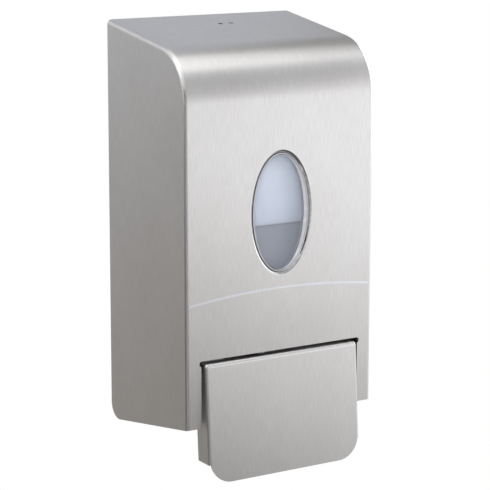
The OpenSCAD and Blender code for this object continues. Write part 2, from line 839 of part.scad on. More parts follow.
module pump_body() {
    color("gainsboro") difference() {
        union() {
            translate([0, 0, pump_z]) rod_y(pump_outer_r, pump_mouth_y, pump_end_y);
            translate([0, port_y, pump_z]) cylinder(r = tower_r, h = shelf_bottom_z - pump_z);
            translate([0, port_y, outlet_boss_z]) cylinder(r = outlet_boss_r, h = pump_z - outlet_boss_z);
            translate([0, port_y, shelf_bottom_z - pump_flange_t]) linear_extrude(pump_flange_t)
                rounded_rect(pump_flange_w, pump_flange_d, tank_corner_r);
        }
        translate([0, 0, pump_z]) rod_y(pump_bore_r, pump_mouth_y - 1, pump_end_y - pump_end_t);
        translate([0, port_y, 0]) {
            translate([0, 0, socket_floor_z]) cylinder(r = socket_r, h = -socket_floor_z);
            translate([0, 0, inlet_pocket_z]) cylinder(r = inlet_pocket_r, h = -inlet_pocket_z);
            translate([0, 0, pump_z]) cylinder(r = inlet_port_r, h = -pump_z);
            translate([0, 0, outlet_boss_z - 1]) {
                cylinder(r = outlet_port_r, h = pump_z - outlet_boss_z + 1);
                cylinder(r = outlet_pocket_r, h = outlet_pocket_z - outlet_boss_z + 1);
            }
        }
        at_pump_screws() translate([0, 0, shelf_bottom_z - pump_flange_t - 1])
            cylinder(r = small_hole_r, h = pump_flange_t + 2);
    }
}

module pump_screws() {
    flange_bottom_z = shelf_bottom_z - pump_flange_t;
    color("silver") at_pump_screws() {
        translate([0, 0, flange_bottom_z])
            cylinder(r = small_screw_r, h = pump_flange_t + shelf_t - screw_tip_gap);
        translate([0, 0, flange_bottom_z - small_head_t]) cylinder(r = small_head_r, h = small_head_t);
    }
}

module pump_gland() {
    color("slategray") translate([0, 0, pump_z]) difference() {
        rod_y(gland_r, gland_front_y, pump_mouth_y + gland_skirt);
        rod_y(pump_outer_r, pump_mouth_y, pump_mouth_y + gland_skirt + 1);
        rod_y(rod_r + running_gap, gland_front_y - 1, pump_mouth_y + 1);
    }
}

module inlet_valve() {
    color("lightgray") translate([0, port_y, inlet_pocket_z]) {
        cylinder(r = inlet_pocket_r - valve_gap, h = valve_disc_t);
        cylinder(r = inlet_port_r / 2, h = 3 * valve_disc_t);
    }
}

// A flange held in the pocket, a round body and a flat lip
module outlet_valve() {
    color("lightgray") translate([0, port_y, outlet_pocket_z]) {
        translate([0, 0, -valve_disc_t]) cylinder(r = outlet_pocket_r - valve_gap, h = valve_disc_t);
        translate([0, 0, -3 * valve_disc_t]) cylinder(r = outlet_port_r, h = 2 * valve_disc_t);
        translate([valve_lip_in - outlet_port_r, -valve_disc_t / 2, -4.5 * valve_disc_t])
            cube([2 * (outlet_port_r - valve_lip_in), valve_disc_t, 2 * valve_disc_t]);
    }
}

module nozzle() {
    color("slategray") translate([0, port_y, 0]) difference() {
        union() {
            translate([0, 0, nozzle_floor_z])
                cylinder(r = nozzle_skirt_r, h = nozzle_skirt_z - nozzle_floor_z);
            translate([0, 0, nozzle_tip_z]) cylinder(r = nozzle_tip_r, h = nozzle_floor_z - nozzle_tip_z);
        }
        translate([0, 0, outlet_boss_z])
            cylinder(r = outlet_boss_r, h = nozzle_skirt_z - outlet_boss_z + 1);
        translate([0, 0, nozzle_tip_z - 1])
            cylinder(r = nozzle_bore_r, h = outlet_boss_z - nozzle_tip_z + 2);
    }
}

module plunger() {
    color("white") translate([0, 0, pump_z]) difference() {
        union() {
            rod_y(head_r, head_front_y, head_rear_y);
            rod_y(rod_r, head_rear_y - 1, piston_rear_y);
            rod_y(piston_r, piston_front_y, piston_rear_y);
        }
        piston_groove(seal_r + running_gap);
    }
}

module piston_groove(r) {
    translate([0, piston_front_y + piston_l / 2, 0]) rotate([90, 0, 0]) rotate_extrude()
        translate([piston_r - seal_r + seal_stand, 0]) circle(r);
}

module piston_seal() {
    color("dimgray") translate([0, 0, pump_z]) piston_groove(seal_r);
}

// One unbroken tube along a helix around the rod, with flat ends
module pump_spring() {
    rings = round(spring_turns * spring_rings_per_turn);
    start_y = head_rear_y + spring_wire / 2 + spring_end_gap;
    rise = atan(spring_pitch / (360 * spring_r * PI / 180));
    function ring_point(i, k) =
        let (turn = 360 * i / spring_rings_per_turn, around = 360 * k / spring_sides,
            out = spring_wire / 2 * cos(around), up = spring_wire / 2 * sin(around))
        [
            (spring_r + out) * cos(turn) + up * sin(rise) * sin(turn),
            start_y + spring_pitch * i / spring_rings_per_turn + up * cos(rise),
            (spring_r + out) * sin(turn) - up * sin(rise) * cos(turn)
        ];
    points = [for (i = [0 : rings], k = [0 : spring_sides - 1]) ring_point(i, k)];
    faces = concat(
        [[for (k = [0 : spring_sides - 1]) k]],
        [for (i = [0 : rings - 1], k = [0 : spring_sides - 1]) [
            i * spring_sides + k,
            (i + 1) * spring_sides + k,
            (i + 1) * spring_sides + (k + 1) % spring_sides,
            i * spring_sides + (k + 1) % spring_sides
        ]],
        [[for (k = [spring_sides - 1 : -1 : 0]) rings * spring_sides + k]]
    );
    color("silver") translate([0, 0, pump_z]) polyhedron(points, faces, convexity = 4);
}

back_plate();
latch_leaf();
latch_rivets();
chassis();
chassis_screws();
tank();
tank_neck();
neck_gasket();
outlet_seal();
pump_body();
pump_gland();
inlet_valve();
outlet_valve();
nozzle();
pump_screws();
filler_cap();
plunger();
piston_seal();
pump_spring();
cover();
cover_hinge_pins();
keeper();
window_bezel();
window_lens();
window_retainer();
window_studs();
window_nuts();
lever_brackets();
lever_pins();
pin_clips();
lever_plate();
lever_carrier();
lever_bushes();
carrier_studs();
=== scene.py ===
# %% [markdown]
# # A wall-mounted soap dispenser in brushed steel
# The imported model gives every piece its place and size. This lesson dresses it: it sets the camera where
# the photograph was taken, models the bent sheet pieces with their radii, and gives each piece a finish.

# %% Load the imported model
import json
import math

import bmesh
import bpy
from mathutils import Matrix, Vector


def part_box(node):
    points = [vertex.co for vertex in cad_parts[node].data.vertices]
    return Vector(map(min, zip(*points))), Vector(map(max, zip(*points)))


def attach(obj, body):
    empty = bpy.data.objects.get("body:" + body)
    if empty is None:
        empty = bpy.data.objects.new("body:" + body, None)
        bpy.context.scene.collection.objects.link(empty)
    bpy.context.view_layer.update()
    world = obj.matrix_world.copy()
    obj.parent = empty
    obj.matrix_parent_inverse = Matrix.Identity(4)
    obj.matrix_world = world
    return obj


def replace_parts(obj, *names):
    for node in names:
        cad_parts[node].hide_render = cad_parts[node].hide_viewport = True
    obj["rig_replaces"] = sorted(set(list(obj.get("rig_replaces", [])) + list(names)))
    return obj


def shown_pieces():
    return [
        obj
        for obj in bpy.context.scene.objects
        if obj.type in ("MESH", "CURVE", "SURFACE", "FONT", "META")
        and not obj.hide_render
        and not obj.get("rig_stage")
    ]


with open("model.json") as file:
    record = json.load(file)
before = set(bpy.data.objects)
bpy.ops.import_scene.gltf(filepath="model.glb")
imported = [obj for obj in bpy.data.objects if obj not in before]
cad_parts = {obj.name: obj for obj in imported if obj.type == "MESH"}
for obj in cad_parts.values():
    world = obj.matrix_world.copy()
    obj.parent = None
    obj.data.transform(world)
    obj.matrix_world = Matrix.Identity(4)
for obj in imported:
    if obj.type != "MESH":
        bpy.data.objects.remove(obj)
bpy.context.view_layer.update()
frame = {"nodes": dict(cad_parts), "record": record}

# %% [markdown]
# ## Camera
# The straight edges of the cover in the photograph meet in three vanishing points, and those give the lens
# and the direction of view. A long lens far away keeps the edges nearly parallel, as in the photograph.

# %% Camera
MM = 0.001
CAMERA_PLACE = Vector((-550.5, -950.5, 206.0)) * MM
CAMERA_DIRECTION = Vector((0.5114, 0.8356, -0.2004))
SENSOR_MM = 36
LENS_MM = 140.9
CAMERA_SHIFT = (-0.0020, -0.0025)

camera_data = bpy.data.cameras.new("photo_camera")
camera_data.sensor_width = SENSOR_MM
camera_data.lens = LENS_MM
camera_data.shift_x, camera_data.shift_y = CAMERA_SHIFT
camera = bpy.data.objects.new("photo_camera", camera_data)
camera.location = CAMERA_PLACE
camera.rotation_euler = CAMERA_DIRECTION.to_track_quat("-Z", "Y").to_euler()
scene = bpy.context.scene
scene.collection.objects.link(camera)
scene.camera = camera
scene.view_settings.view_transform = "Standard"
print("camera distance in mm:", round(camera.location.length / MM))

# %% [markdown]
# ## Studio
# Brushed steel has hardly any colour of its own: it shows the room. So the room is built like a product
# studio: a white surround, one softbox above, one at the left and one that lights the tank through the
# window. The floor lies well below the dispenser, which hangs on a wall.

# %% Surround and lamps
SURROUND_STRENGTH = 1.0


def white_surround():
    world = bpy.data.worlds.new("white_surround")
    scene.world = world
    world.use_nodes = True
    nodes, links = world.node_tree.nodes, world.node_tree.links
    nodes.clear()
    light = nodes.new("ShaderNodeBackground")
    light.inputs["Color"].default_value = (1, 1, 1, 1)
    light.inputs["Strength"].default_value = SURROUND_STRENGTH
    output = nodes.new("ShaderNodeOutputWorld")
    links.new(light.outputs[0], output.inputs["Surface"])


def facing(place, target):
    return (Vector(target) - Vector(place)).to_track_quat("-Z", "Y").to_euler()


def softbox(name, place, target, size, watts, spin=0.0):
    data = bpy.data.lights.new(name, "AREA")
    data.shape = "RECTANGLE"
    data.size, data.size_y = size
    data.energy = watts
    lamp = bpy.data.objects.new(name, data)
    lamp.location = place
    lamp.rotation_euler = facing(place, target)
    lamp.rotation_euler.rotate_axis("Z", spin)
    scene.collection.objects.link(lamp)
    return lamp


white_surround()
softbox("top_softbox", (0.08, -0.23, 1.0), (0, -0.05, 0), (0.85, 0.74), watts=1.57, spin=-0.45)
softbox("left_softbox", (-0.8, -0.05, 0.78), (0, -0.05, 0.05), (0.5, 0.5), watts=1.6)
window_softbox = softbox("window_softbox", (-0.6, -1.0, 0.3), (0, -0.08, 0.01), (0.4, 0.4), watts=5.0)
window_softbox.visible_glossy = False

# %% [markdown]
# ## Reflection cards
# A photographer shapes steel with cards, and so does this lesson. The cards glow and only reflections see
# them: they light nothing and throw no shadow. Each face of the dispenser mirrors a card of its own, so the
# card carries the greys that this face has, as stops of a colour ramp that may run aslant.

# %% A card that only reflections see
COOL_TINT = 1.01


def flat_sheet(name, size):
    bm = bmesh.new()
    bmesh.ops.create_grid(bm, x_segments=1, y_segments=1, size=0.5)
    bmesh.ops.scale(bm, vec=(size[0], size[1], 1), verts=bm.verts)
    mesh = bpy.data.meshes.new(name)
    bm.to_mesh(mesh)
    bm.free()
    sheet = bpy.data.objects.new(name, mesh)
    scene.collection.objects.link(sheet)
    sheet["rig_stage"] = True
    return sheet


def grey(strength):
    return strength, strength, strength * COOL_TINT


def plain(strength):
    """The stops of a card that has one grey all over."""
    return [(0.0, grey(strength)), (1.0, grey(strength))]


def set_stops(ramp, tones):
    stops = ramp.color_ramp.elements
    while len(stops) < len(tones):
        stops.new(1.0)
    for stop, (position, tone) in zip(stops, tones):
        stop.position = position
        stop.color = (*tone, 1)


def reflection_card(name, place, target, size, tones, slant=0.0):
    """A glowing card. Its tones are stops from its lower to its upper end, turned by the slant."""
    card = flat_sheet(name, size)
    card.location = place
    card.rotation_euler = facing(place, target)
    card.visible_camera = False
    card.visible_diffuse = False
    card.visible_shadow = False
    material = bpy.data.materials.new(name)
    material.use_nodes = True
    nodes, links = material.node_tree.nodes, material.node_tree.links
    nodes.clear()
    coordinates = nodes.new("ShaderNodeTexCoord")
    turned = nodes.new("ShaderNodeVectorRotate")
    turned.rotation_type = "Z_AXIS"
    turned.inputs["Angle"].default_value = slant
    links.new(coordinates.outputs["Object"], turned.inputs["Vector"])
    split = nodes.new("ShaderNodeSeparateXYZ")
    links.new(turned.outputs[0], split.inputs[0])
    share = nodes.new("ShaderNodeMapRange")
    share.inputs["From Min"].default_value = -size[1] / 2
    share.inputs["From Max"].default_value = size[1] / 2
    links.new(split.outputs["Y"], share.inputs["Value"])
    ramp = nodes.new("ShaderNodeValToRGB")
    links.new(share.outputs[0], ramp.inputs["Fac"])
    set_stops(ramp, tones)
    glow = nodes.new("ShaderNodeEmission")
    links.new(ramp.outputs["Color"], glow.inputs["Color"])
    output = nodes.new("ShaderNodeOutputMaterial")
    links.new(glow.outputs[0], output.inputs["Surface"])
    card.data.materials.append(material)
    return card


# %% Cards for the front and the lever
front_tones = [
    (0.22, (0.105, 0.10, 0.09)), (0.42, (0.825, 0.82, 0.81)), (0.62, (1.44, 1.45, 1.48)), (1.0, grey(0.9)),
]
upper_front_tones = [
    (0.0, grey(1.35)), (0.2, grey(1.02)), (0.42, grey(0.68)), (0.62, grey(0.56)), (1.0, grey(0.48)),
]
reflection_card("front_card", (0.18, -0.40, -0.075), (0, -0.088, 0), (0.9, 0.8), front_tones, slant=0.45)
reflection_card(
    "upper_front_card", (0.17, -0.385, 0.19), (0, -0.088, 0.08), (0.9, 0.3), upper_front_tones, slant=-0.55)

# %% Cards for the bend, the top and the left side
over_tones = [(0.0, (0.52, 0.53, 0.545)), (1.0, (0.565, 0.58, 0.605))]
ceiling_tones = [
    (0.53, (0.565, 0.585, 0.63)), (0.555, (0.51, 0.525, 0.565)),
    (0.58, (0.38, 0.38, 0.39)), (0.62, (0.24, 0.23, 0.22)),
]
left_tones = [
    (0.0, (0.26, 0.235, 0.205)), (0.5, (0.445, 0.43, 0.415)),
    (0.68, (0.58, 0.59, 0.605)), (1.0, (1.05, 1.1, 1.17)),
]
reflection_card("over_card", (0.44, -0.56, 0.56), (0, -0.06, 0.09), (1.4, 0.5), over_tones)
reflection_card("ceiling_card", (0.42, 0.55, 0.55), (0, -0.04, 0.1), (1.8, 1.3), ceiling_tones, slant=-1.75)
reflection_card("left_card", (-0.30, 0.36, -0.10), (-0.06, -0.04, 0), (0.7, 0.7), left_tones, slant=-0.85)

# %% Cards for the window's edge and the folds
corner_tones = [(0.0, grey(0.36)), (0.56, grey(0.36)), (0.72, grey(0.06)), (1.0, grey(0.06))]
reflection_card("right_card", (0.9, 0.22, 0.22), (0, -0.088, 0), (0.5, 0.6), plain(5))
reflection_card("lip_card", (0.9, -0.16, 0.26), (0, -0.088, 0), (0.42, 0.72), plain(3))
reflection_card("under_card", (0.1, -0.22, -0.45), (0.02, -0.088, 0), (0.8, 0.5), plain(0.12))
reflection_card("corner_card", (-0.78, -0.66, -0.12), (-0.06, -0.088, 0), (0.9, 1.2), corner_tones)
reflection_card("side_card", (-0.80, -0.06, -0.36), (-0.06, -0.088, -0.05), (0.7, 0.72), plain(0.10))

# %% Floor
FLOOR_Z = -1.2
FLOOR_SIDE = 1.2

floor = flat_sheet("floor", (FLOOR_SIDE, FLOOR_SIDE))
floor.location.z = FLOOR_Z
floor_paint = bpy.data.materials.new("floor_paint")
floor_paint.use_nodes = True
floor_shader = floor_paint.node_tree.nodes["Principled BSDF"]
floor_shader.inputs["Base Color"].default_value = (0.86, 0.86, 0.85, 1)
floor_shader.inputs["Roughness"].default_value = 0.7
floor.data.materials.append(floor_paint)

# %% [markdown]
# ## Making a finish
# Every material here is a Principled shader with a few texture nodes. A small class keeps the node code
# short: it adds nodes, sets their sockets by name, and joins them.

# %% A class for finishes
GRAIN = "grain"


class Finish:
    def __init__(self, name, colour, roughness, metallic=0.0):
        self.material = bpy.data.materials.new(name)
        self.material.use_nodes = True
        self.tree = self.material.node_tree
        self.shader = self.tree.nodes["Principled BSDF"]
        self.set("Base Color", (*colour, 1))
        self.set("Roughness", roughness)
        self.set("Metallic", metallic)

    def set(self, socket, value):
        self.shader.inputs[socket].default_value = value

    def node(self, kind, inputs=(), **settings):
        node = self.tree.nodes.new(kind)
        for name, value in settings.items():
            setattr(node, name, value)
        for socket, value in dict(inputs).items():
            if isinstance(value, bpy.types.NodeSocket):
                self.tree.links.new(value, node.inputs[socket])
            else:
                node.inputs[socket].default_value = value
        return node

    def to_shader(self, output, socket):
        self.tree.links.new(output, self.shader.inputs[socket])

    def object_place(self):
        return self.node("ShaderNodeTexCoord").outputs["Object"]

    def noise(self, place, cell, detail=3.0):
        """Noise whose cells have the given size along each axis, in metres."""
        scaled = self.node("ShaderNodeMapping", {"Vector": place, "Scale": [1 / c for c in cell]})
        return self.node(
            "ShaderNodeTexNoise", {"Vector": scaled.outputs[0], "Scale": 1.0, "Detail": detail}
        ).outputs["Fac"]

    def spread(self, value, low, high):
        """Brings a noise value, mostly 0.3 to 0.7, to the range from low to high."""
        return self.node(
            "ShaderNodeMapRange",
            {"Value": value, "From Min": 0.3, "From Max": 0.7, "To Min": low, "To Max": high},
        ).outputs[0]

    def blend(self, share, first, second):
        return self.node(
            "ShaderNodeMix", {"Factor": share, "A": (*first, 1), "B": (*second, 1)}, data_type="RGBA"
        ).outputs["Result"]

    def multiply(self, first, second):
        node = self.node("ShaderNodeMix", {"Factor": 1.0, "A": first, "B": second}, data_type="RGBA")
        node.blend_type = "MULTIPLY"
        return node.outputs["Result"]

    def bump(self, height, strength, depth):
        node = self.node("ShaderNodeBump", {"Height": height, "Strength": strength, "Distance": depth})
        self.to_shader(node.outputs[0], "Normal")


def shaded(colour, share):
    return tuple(c * share for c in colour)


# %% [markdown]
# Plain metal and moulded plastic differ in little: a fine grain moves the roughness and makes a shallow
# bump, and the colour drifts a few parts in a hundred, because no real surface is one flat colour.

# %% Moulded plastic, rubber and plain metal
def metal(name, colour, roughness, cell, depth):
    steel = Finish(name, colour, roughness, metallic=1.0)
    grain = steel.noise(steel.object_place(), cell, detail=4)
    tone = steel.blend(steel.spread(grain, 0, 1), shaded(colour, 0.88), shaded(colour, 1.08))
    steel.to_shader(tone, "Base Color")
    steel.to_shader(steel.spread(grain, roughness - 0.06, roughness + 0.08), "Roughness")
    steel.bump(grain, 0.1, depth)
    return steel.material


def moulded(name, colour, roughness, cell=0.0008, depth=0.00003):
    plastic = Finish(name, colour, roughness)
    place = plastic.object_place()
    texture = plastic.noise(place, (cell, cell, cell), detail=3)
    clouds = plastic.noise(place, (0.02, 0.02, 0.02), detail=2)
    tone = plastic.blend(plastic.spread(clouds, 0, 1), shaded(colour, 0.92), shaded(colour, 1.04))
    plastic.to_shader(tone, "Base Color")
    plastic.to_shader(plastic.spread(texture, roughness - 0.05, roughness + 0.08), "Roughness")
    plastic.bump(texture, 0.15, depth)
    return plastic


# %% [markdown]
# ## Brushed steel
# The sheet was ground with a belt before it was bent. Up close it is a field of fine scratches, all one
# way: they spread reflections across the grain and keep them sharp along it, which the shader's Anisotropic
# socket does. The scratches follow the sheet round its bends, so they read a UV map measured along the
# sheet, not the object's axes. The belt never reached the inside, which keeps the dull finish of the mill;
# the inside is also painted far darker than steel is, as painted shade for the unlit inside of the sheets.

# %% Brushed steel
def brushed_steel(name, colour, roughness):
    steel = Finish(name, colour, roughness, metallic=1.0)
    place = steel.node("ShaderNodeUVMap", uv_map=GRAIN).outputs[0]
    scratches = steel.noise(place, (0.0005, 0.008, 1), detail=4)
    hairs = steel.noise(place, (0.00025, 0.006, 1), detail=2)
    clouds = steel.noise(place, (0.03, 0.06, 1), detail=2)
    tone = steel.blend(steel.spread(scratches, 0, 1), shaded(colour, 0.94), shaded(colour, 1.06))
    cloudy = steel.blend(steel.spread(clouds, 0, 1), (0.96, 0.955, 0.95), (1, 1, 1))
    steel.to_shader(steel.multiply(tone, cloudy), "Base Color")
    steel.to_shader(steel.spread(hairs, roughness - 0.05, roughness + 0.07), "Roughness")
    steel.bump(scratches, 0.12, 0.00002)
    steel.set("Anisotropic", 0.55)
    tangent = steel.node("ShaderNodeTangent", direction_type="UV_MAP", uv_map=GRAIN)
    steel.to_shader(tangent.outputs[0], "Tangent")
    return steel.material


STEEL = (0.66, 0.65, 0.645)
cover_steel = brushed_steel("brushed_cover_steel", STEEL, 0.34)
# The lever's steel is the cover's steel painted a little lighter: painted light that lifts the lever's face.
lever_steel = brushed_steel("brushed_lever_steel", shaded(STEEL, 1.01), 0.36)
polished_steel = metal("polished_edge", (0.68, 0.68, 0.68), 0.14, (0.002, 0.002, 0.002), 0.000002)
# The inside paint is much darker than steel: painted shade for the inside of the cover and the lever.
mill_and_painted_shade_steel = metal("mill_finish_and_painted_shade", (0.16, 0.16, 0.165), 0.55, (0.003, 0.003, 0.003), 0.00001)
print("steels:", [m.name for m in (cover_steel, lever_steel, polished_steel, mill_and_painted_shade_steel)])

# %% [markdown]
# ## Helpers for pieces
# A piece starts as a bmesh. When it is shaped it becomes an object that rides on its body, so that it moves
# with the joint. Weighted normals keep large flat faces flat next to their rounded edges.

# %% Helpers for pieces
SMOOTH_ANGLE = math.radians(35)
EDGE_ANGLE = math.radians(50)


def to_object(bm, name):
    mesh = bpy.data.meshes.new(name)
    bm.to_mesh(mesh)
    bm.free()
    piece = bpy.data.objects.new(name, mesh)
    scene.collection.objects.link(piece)
    return piece


def settle(piece):
    """Makes the result of the piece's modifiers its mesh."""
    graph = bpy.context.evaluated_depsgraph_get()
    mesh = bpy.data.meshes.new_from_object(piece.evaluated_get(graph))
    piece.modifiers.clear()
    piece.data = mesh
    return piece


def cut(piece, cutter_bm):
    """Takes a shape out of a piece."""
    cutter = to_object(cutter_bm, piece.name + "_cutter")
    step = piece.modifiers.new("cut", "BOOLEAN")
    step.operation = "DIFFERENCE"
    step.solver = "EXACT"
    step.object = cutter
    settle(piece)
    bpy.data.objects.remove(cutter)
    return piece


def paint(piece, *materials):
    for material in materials:
        piece.data.materials.append(material)
    return piece


def finish_piece(piece, body, slot, *nodes):
    piece.data.shade_smooth()
    piece.data.set_sharp_from_angle(angle=SMOOTH_ANGLE)
    normals = piece.modifiers.new("flat_stays_flat", "WEIGHTED_NORMAL")
    normals.keep_sharp = True
    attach(piece, body)
    if nodes:
        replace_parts(piece, *nodes)
    print(piece.name, "faces:", len(piece.data.polygons))
    return piece


# %% [markdown]
# The next helpers do to a sheet what the shop does: draw its outline point by point, pull its open edge
# further, round its folds, and give it thickness.

# %% Helpers for sheets
SIDEWAYS = 0.5


def grow(bm, vert, place):
    """Extrudes a vertex to a place and gives the new vertex."""
    made = bmesh.ops.extrude_vert_indiv(bm, verts=[vert])["verts"][0]
    made.co = place
    return made


def turn(bm, vert, centre, axis, angle, steps):
    """Spins a vertex round a centre and gives the last new vertex."""
    made = bmesh.ops.spin(bm, geom=[vert], cent=centre, axis=axis, angle=angle, steps=steps)
    return [v for v in made["geom_last"] if isinstance(v, bmesh.types.BMVert)][0]


def extend(bm, edges):
    """Extrudes an open row of edges and gives the new vertices and edges."""
    made = bmesh.ops.extrude_edge_only(bm, edges=edges)["geom"]
    verts = {g for g in made if isinstance(g, bmesh.types.BMVert)}
    return verts, [g for g in made if isinstance(g, bmesh.types.BMEdge) and verts.issuperset(g.verts)]


def with_edges(faces):
    """Faces together with their edges and vertices."""
    return faces + list({e for f in faces for e in f.edges}) + list({v for f in faces for v in f.verts})


def fold_edges(bm, kinds):
    """Edges between two faces. Kinds is 2 where a side meets a front or top, and 1 where it doesn't."""
    found = []
    for edge in bm.edges:
        beside = {abs(f.normal.x) > SIDEWAYS for f in edge.link_faces}
        if len(edge.link_faces) == 2 and len(beside) == kinds:
            found.append(edge)
    return found


def thicken(piece, thickness):
    """Gives a sheet its thickness. Its inside takes the last paint."""
    step = piece.modifiers.new("sheet", "SOLIDIFY")
    step.thickness = thickness
    step.offset = -1
    step.material_offset = len(piece.data.materials) - 1
    return settle(piece)


def round_edges(piece, limit, width, segments):
    """Rounds the edges that the limit picks, by their ANGLE or by their WEIGHT."""
    step = piece.modifiers.new("edges", "BEVEL")
    step.limit_method = limit
    step.angle_limit = EDGE_ANGLE
    step.affect = "EDGES"
    step.offset_type = "OFFSET"
    step.width = width
    step.segments = segments
    step.profile = 0.5
    step.material = -1
    return settle(piece)


# %% [markdown]
# ## Cover
# The cover is built as one sheet of steel, folded at the two front edges and bent over at the top. A box
# with a Bevel modifier would come close, but the bent top and the sloped bottom edge would be lost. So the
# side view is drawn by growing and spinning one vertex, filled, and pushed across the width. The open faces
# are deleted, the folds rounded, and the sheet gets its thickness last. Each fold edge carries a bevel
# weight: the folds are tight up the front and open out over the bend, as in the photograph.

# %% Cover sizes
cover_low, cover_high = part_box("cover")
lens_low, lens_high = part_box("window_lens")
SHEET = 1.0 * MM
TOP_BEND_R = 30 * MM
TOP_SLOPE = math.radians(8.5)
BOTTOM_SLOPE = math.radians(9.7)
REAR_CORNER_R = 8.6 * MM
FRONT_BOTTOM_Z = -100 * MM
FRONT_HEIGHT = 176 * MM
FOLD_R = 1.7 * MM
TOP_FOLD_R = 2.8 * MM
ROLL_R = 1.5 * MM
REAR_RIM = 3.3 * MM
RIM_START = 12 * MM
FRONT_Y = cover_low.y
REAR_Y = cover_high.y
BEND_Z = FRONT_BOTTOM_Z + FRONT_HEIGHT
BEND_Y = FRONT_Y + TOP_BEND_R
CORNER_Y = REAR_Y - REAR_CORNER_R
CORNER_DROP = (CORNER_Y - FRONT_Y) * math.tan(BOTTOM_SLOPE)
CORNER_Z = FRONT_BOTTOM_Z - CORNER_DROP + REAR_CORNER_R / math.cos(BOTTOM_SLOPE)
BEND_TURN = math.pi / 2 - TOP_SLOPE
CORNER_TURN = math.pi / 2 + BOTTOM_SLOPE
BEND_STEPS = 28
CORNER_STEPS = 14
FOLD_SEGMENTS = 5
TO_LEFT = (-1, 0, 0)
print("cover in mm:", [round(d / MM, 1) for d in cover_high - cover_low])

# %% Cover sheet
OPEN_TILT = 0.3


def cover_sheet():
    bm = bmesh.new()
    weight = bm.edges.layers.float.new("bevel_weight_edge")
    x = cover_low.x
    first = bm.verts.new((x, FRONT_Y, FRONT_BOTTOM_Z))
    vert = grow(bm, first, (x, FRONT_Y, BEND_Z))
    vert = turn(bm, vert, (x, BEND_Y, BEND_Z), TO_LEFT, BEND_TURN, BEND_STEPS)
    vert = grow(bm, vert, (x, REAR_Y, cover_high.z))
    for rise in (RIM_START, RIM_START / 2, 0):
        vert = grow(bm, vert, (x, REAR_Y, CORNER_Z + rise))
    vert = turn(bm, vert, (x, CORNER_Y, CORNER_Z), TO_LEFT, CORNER_TURN, CORNER_STEPS)
    bm.edges.new((vert, first))
    side = bmesh.ops.contextual_create(bm, geom=bm.edges[:])["faces"]
    pushed = bmesh.ops.extrude_face_region(bm, geom=side)["geom"]
    across = [v for v in pushed if isinstance(v, bmesh.types.BMVert)]
    bmesh.ops.translate(bm, vec=(cover_high.x - cover_low.x, 0, 0), verts=across)
    bmesh.ops.recalc_face_normals(bm, faces=bm.faces)
    open_faces = [
        f for f in bm.faces
        if abs(f.normal.x) < SIDEWAYS and (f.normal.z < -OPEN_TILT or f.normal.y > OPEN_TILT)
    ]
    bmesh.ops.delete(bm, geom=open_faces, context="FACES")
    for edge in fold_edges(bm, 2):
        z = sum(v.co.z for v in edge.verts) / 2
        rise = min(max((z - BEND_Z) / TOP_BEND_R, 0), 1)
        edge[weight] = (FOLD_R + (TOP_FOLD_R - FOLD_R) * rise) / TOP_FOLD_R
    return bm


# %% [markdown]
# Along the wall the sheet is rolled in by a quarter turn and a short flat, so that no sharp edge shows at
# the rear. The roll tapers down to nothing at the lower corner, and each step pushes the open edge a little
# further round. The flat closes the gap beside the wall plate.

# %% Rolled rear edge
ROLL_STEPS = 5
NEAR = 0.001 * MM
SAME_PLACE = 0.0001 * MM


def rear_share(z):
    """How much of the roll there is at a height: none at the lower corner, all of it at the top."""
    return min(max((z - CORNER_Z) / (cover_high.z - CORNER_Z), 0), 1)


def inside(place, width):
    """The place, kept at least this far from the outer sides and the top."""
    half = cover_high.x - width
    return Vector((min(max(place.x, -half), half), place.y, min(place.z, cover_high.z - width)))


def roll_rear_edge(bm):
    low_y, low_z = REAR_Y - NEAR, CORNER_Z - NEAR
    edges = [e for e in bm.edges if all(v.co.y > low_y and v.co.z > low_z for v in e.verts)]
    for vert in {v for e in edges for v in e.verts}:
        vert.co.y -= ROLL_R * rear_share(vert.co.z)
    for step in range(ROLL_STEPS):
        verts, edges = extend(bm, edges)
        before, after = (math.pi / 2 * k / ROLL_STEPS for k in (step, step + 1))
        for vert in verts:
            radius = ROLL_R * rear_share(vert.co.z)
            inward = (inside(vert.co, TOP_FOLD_R) - vert.co).normalized()
            vert.co += inward * radius * (math.cos(before) - math.cos(after))
            vert.co.y += radius * (math.sin(after) - math.sin(before))
    for vert in extend(bm, edges)[0]:
        vert.co = inside(vert.co, REAR_RIM * min((vert.co.z - CORNER_Z) / RIM_START, 1))
    bmesh.ops.remove_doubles(bm, verts=bm.verts, dist=SAME_PLACE)


# %% [markdown]
# The grain map measures the sheet as the grinder saw it: U runs across the grain and V along it, up the
# front, round the bend and back along the top, and straight up on the sides.

# %% Grain map of the cover
def along_profile(y, z):
    """Distance along the front, the bend and the top, in metres."""
    if z < BEND_Z and y < BEND_Y:
        return z
    angle = math.atan2(z - BEND_Z, BEND_Y - y)
    if angle < BEND_TURN:
        return BEND_Z + TOP_BEND_R * angle
    along_top = (y - BEND_Y + TOP_BEND_R * math.sin(TOP_SLOPE)) / math.cos(TOP_SLOPE)
    return BEND_Z + TOP_BEND_R * BEND_TURN + along_top


def map_grain(bm, along):
    layer = bm.loops.layers.uv.new(GRAIN)
    for face in bm.faces:
        on_side = abs(face.normal.x) > 0.9
        on_rim = face.normal.y > 0.5
        for loop in face.loops:
            x, y, z = loop.vert.co
            loop[layer].uv = (y if on_side else x, z if on_side or on_rim else along(y, z))


# %% [markdown]
# The window is an oval in the cover, in the ring and in the pane. One function makes all of these: it takes
# a circle, scales it to the first oval and pulls it through the ovals that follow.

# %% Ovals
OVAL_SEGMENTS = 128
WINDOW_LAP = 0.4 * MM
WINDOW_A = lens_high.x - WINDOW_LAP
WINDOW_B = (lens_high.z - lens_low.z) / 2 - WINDOW_LAP
WINDOW_Z = (lens_high.z + lens_low.z) / 2
print("window in mm:", round(2 * WINDOW_A / MM, 1), "by", round(2 * WINDOW_B / MM, 1))


